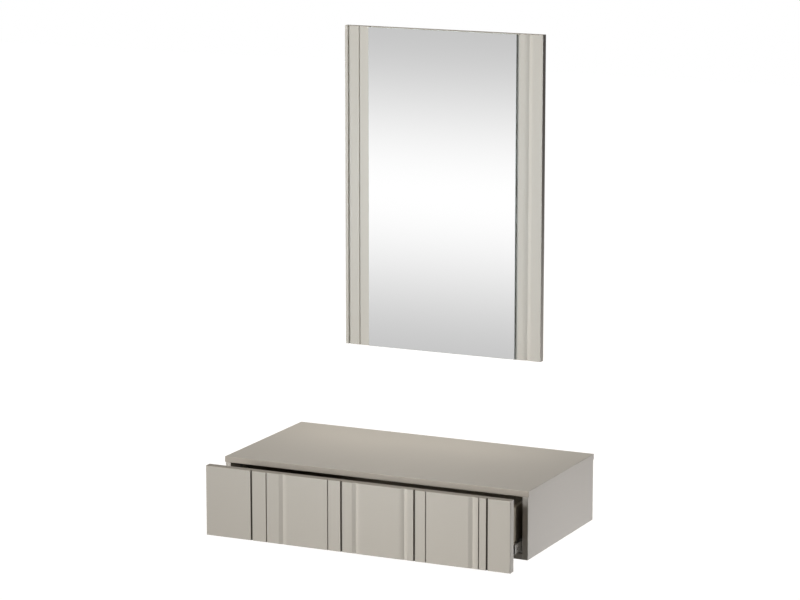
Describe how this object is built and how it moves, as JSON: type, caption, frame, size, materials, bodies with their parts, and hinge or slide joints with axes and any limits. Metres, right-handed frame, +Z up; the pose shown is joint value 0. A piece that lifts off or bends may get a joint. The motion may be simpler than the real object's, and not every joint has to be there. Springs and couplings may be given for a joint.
{
  "type": "wall-hung dressing table",
  "caption": "Wall-hung dressing table: a low cabinet with a wide handleless drawer on telescopic ball slides, and a mirror between milled strips that hangs above it.",
  "frame": {"origin": "on the wall plane, midway between the screw holes of the two wall plates", "axes": "+X across to the viewer's right, +Y back into the wall, +Z up; the drawer pulls out along -Y"},
  "size_m": [0.9, 0.569, 1.336],
  "materials": {
    "carcass_board": "matt greige laminate",
    "milled_front": "matt greige foil on milled fibreboard",
    "back_sheet": "thin hardboard, matt lacquer",
    "box_board": "matt greige laminate",
    "slide_steel": "zinc plated",
    "cage_steel": "rolled strip",
    "ball_steel": "polished",
    "screw_zinc": "zinc plated",
    "cam_zinc": "die cast",
    "bolt_steel": "zinc plated",
    "dowel_beech": "plain beech",
    "hanger_steel": "zinc plated",
    "bumper_silicone": "clear silicone",
    "mirror_glass": "silvered, ground edges",
    "foam_tape": "foam mounting tape"
  },
  "bodies": {
    "wall_unit": {"top_panel": "carcass_board", "side_panel_left": "carcass_board", "side_panel_right": "carcass_board", "bottom_panel": "carcass_board", "back_panel": "back_sheet", "cabinet_cams": "cam_zinc", "cabinet_cam_bolts": "bolt_steel", "cabinet_dowels": "dowel_beech", "hanger_left": "hanger_steel", "hanger_right": "hanger_steel", "hanger_screws": "screw_zinc", "wall_plate_left": "hanger_steel", "wall_plate_right": "hanger_steel", "slide_outer_left": "slide_steel", "slide_outer_right": "slide_steel", "slide_outer_screws": "screw_zinc", "mirror_board": "milled_front", "mirror_glass": "mirror_glass", "mirror_tape": "foam_tape", "mirror_hanger_left": "hanger_steel", "mirror_hanger_right": "hanger_steel", "mirror_hanger_screws": "screw_zinc"},
    "drawer": {"drawer_front": "milled_front", "drawer_side_left": "box_board", "drawer_side_right": "box_board", "drawer_back": "box_board", "drawer_bottom": "back_sheet", "drawer_cams": "cam_zinc", "drawer_cam_bolts": "bolt_steel", "drawer_back_screws": "screw_zinc", "drawer_bottom_screws": "screw_zinc", "slide_inner_left": "slide_steel", "slide_inner_right": "slide_steel", "slide_inner_screws": "screw_zinc", "front_bumpers": "bumper_silicone"},
    "slide_middles": {"slide_middle_left": "slide_steel", "slide_middle_right": "slide_steel"},
    "outer_cages": {"outer_cage_left": "cage_steel", "outer_cage_right": "cage_steel", "outer_balls": "ball_steel"},
    "inner_cages": {"inner_cage_left": "cage_steel", "inner_cage_right": "cage_steel", "inner_balls": "ball_steel"}
  },
  "joints": [
    {"name": "drawer_slide", "type": "slide", "parent": "wall_unit", "child": "drawer", "axis": [0, -1, 0], "range_m": [-0.09, 0.31]},
    {"name": "middle_slide", "type": "slide", "parent": "wall_unit", "child": "slide_middles", "axis": [0, -1, 0], "range_m": [-0.045, 0.155]},
    {"name": "outer_cage_slide", "type": "slide", "parent": "wall_unit", "child": "outer_cages", "axis": [0, -1, 0], "range_m": [-0.0225, 0.0775]},
    {"name": "inner_cage_slide", "type": "slide", "parent": "wall_unit", "child": "inner_cages", "axis": [0, -1, 0], "range_m": [-0.0675, 0.2325]}
  ],
  "couplings": [
    {"joint": "middle_slide", "follows": "drawer_slide", "ratio": 0.5},
    {"joint": "outer_cage_slide", "follows": "drawer_slide", "ratio": 0.25},
    {"joint": "inner_cage_slide", "follows": "drawer_slide", "ratio": 0.75}
  ]
}
